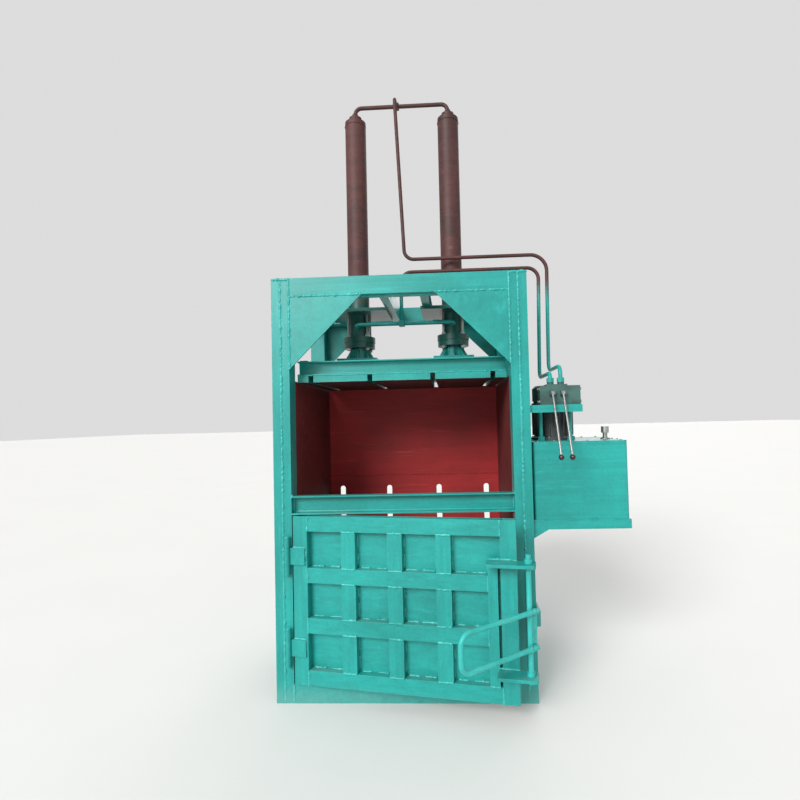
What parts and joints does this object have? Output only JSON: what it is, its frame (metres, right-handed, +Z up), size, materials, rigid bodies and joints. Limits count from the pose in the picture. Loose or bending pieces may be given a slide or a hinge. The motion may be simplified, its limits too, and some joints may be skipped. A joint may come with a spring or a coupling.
{
  "type": "recycling baler",
  "caption": "Vertical baling press with a grooved chamber, swing door, side oil tank and two hydraulic cylinders that drive the platen down",
  "frame": {"origin": "on the ground at the centre of the frame footprint, on the middle floor joist", "axes": "+X to the right of the door, +Y to the back wall, +Z up"},
  "size_m": [1.919, 1.4928, 3.554],
  "materials": {
    "frame_paint": "teal machinery enamel, brushed on by hand, weld beads painted over",
    "door_paint": "teal machinery enamel with thin spots at the weld beads",
    "chamber_primer": "dark red oxide primer inside, teal enamel outside",
    "floor_primer": "dark red oxide primer",
    "platen_paint": "teal machinery enamel, dark red oxide primer on the pressing side",
    "cylinder_primer": "matt dark red primer, teal overspray on the lower end",
    "head_paint": "teal machinery enamel",
    "pipe_primer": "matt dark red primer, teal overspray inside the frame",
    "rod_chrome": "hard chrome, polished",
    "zinc_steel": "zinc plated steel",
    "latch_paint": "teal enamel worn thin where it is gripped",
    "pin_steel": "bare turned steel",
    "tank_paint": "teal enamel on sheet steel",
    "motor_paint": "dark grey enamel on cast housing",
    "cowl_paint": "dark grey enamel on pressed sheet",
    "breather_steel": "plated pressed steel",
    "valve_paint": "grey green paint on iron",
    "lever_steel": "bright plated steel",
    "knob_plastic": "dark maroon phenolic"
  },
  "bodies": {
    "frame": {"front_post_left": "frame_paint", "front_post_right": "frame_paint", "rear_posts": "frame_paint", "top_front_beam": "frame_paint", "top_rear_beam": "frame_paint", "top_side_beams": "frame_paint", "corner_gussets": "frame_paint", "base_beams": "frame_paint", "floor_joists": "frame_paint", "sill_beam": "frame_paint", "post_caps": "frame_paint", "floor_plate": "floor_primer", "floor_pads": "floor_primer", "side_wall_left": "chamber_primer", "side_wall_right": "chamber_primer", "back_wall": "chamber_primer", "side_ribs": "frame_paint", "back_ribs": "frame_paint", "cylinder_beams": "frame_paint", "cylinder_mount_plates": "frame_paint", "cylinder_tubes": "cylinder_primer", "cylinder_heads": "head_paint", "cylinder_caps": "cylinder_primer", "cylinder_studs": "zinc_steel", "hinge_post_knuckles": "frame_paint", "hinge_pins": "pin_steel", "latch_keeper": "frame_paint", "tank_shelf": "frame_paint", "oil_tank": "tank_paint", "tank_lid": "tank_paint", "filler_breather": "breather_steel", "motor": "motor_paint", "motor_fan_cowl": "cowl_paint", "terminal_box": "motor_paint", "valve_bracket": "frame_paint", "valve_sections": "valve_paint", "upper_header_pipe": "pipe_primer", "lower_header_pipe": "pipe_primer", "upper_feed_pipe": "pipe_primer", "lower_feed_pipe": "pipe_primer", "tank_pipes": "pipe_primer"},
    "door": {"door_plate": "door_paint", "door_stiles": "door_paint", "door_rails": "door_paint", "door_ribs": "door_paint", "hinge_leaves": "door_paint", "latch_ears": "door_paint"},
    "latch": {"latch_shaft": "latch_paint", "latch_handle": "latch_paint", "latch_cam": "latch_paint"},
    "platen": {"platen_pads": "platen_paint", "platen_plate": "platen_paint", "platen_channels": "platen_paint", "platen_cross_beams": "platen_paint", "platen_stands": "platen_paint", "piston_rods": "rod_chrome"},
    "lever_left": {"valve_lever_left": "lever_steel", "lever_knob_left": "knob_plastic"},
    "lever_right": {"valve_lever_right": "lever_steel", "lever_knob_right": "knob_plastic"}
  },
  "joints": [
    {"name": "door_swing", "type": "hinge", "parent": "frame", "child": "door", "pos_m": [-0.622, -0.474, 0.55], "axis": [0, 0, -1], "range_deg": [-9.9, 140]},
    {"name": "latch_turn", "type": "hinge", "parent": "door", "child": "latch", "pos_m": [0.62149, -0.71843, 0.54], "axis": [0, 0, 1], "range_deg": [-46, 75]},
    {"name": "platen_slide", "type": "slide", "parent": "frame", "child": "platen", "axis": [0, 0, -1], "range_m": [0, 1.25]},
    {"name": "valve_lever_left_tilt", "type": "hinge", "parent": "frame", "child": "lever_left", "pos_m": [0.82, -0.436, 1.625], "axis": [1, 0, 0], "range_deg": [-15, 15]},
    {"name": "valve_lever_right_tilt", "type": "hinge", "parent": "frame", "child": "lever_right", "pos_m": [0.876, -0.436, 1.625], "axis": [1, 0, 0], "range_deg": [-15, 15]}
  ]
}
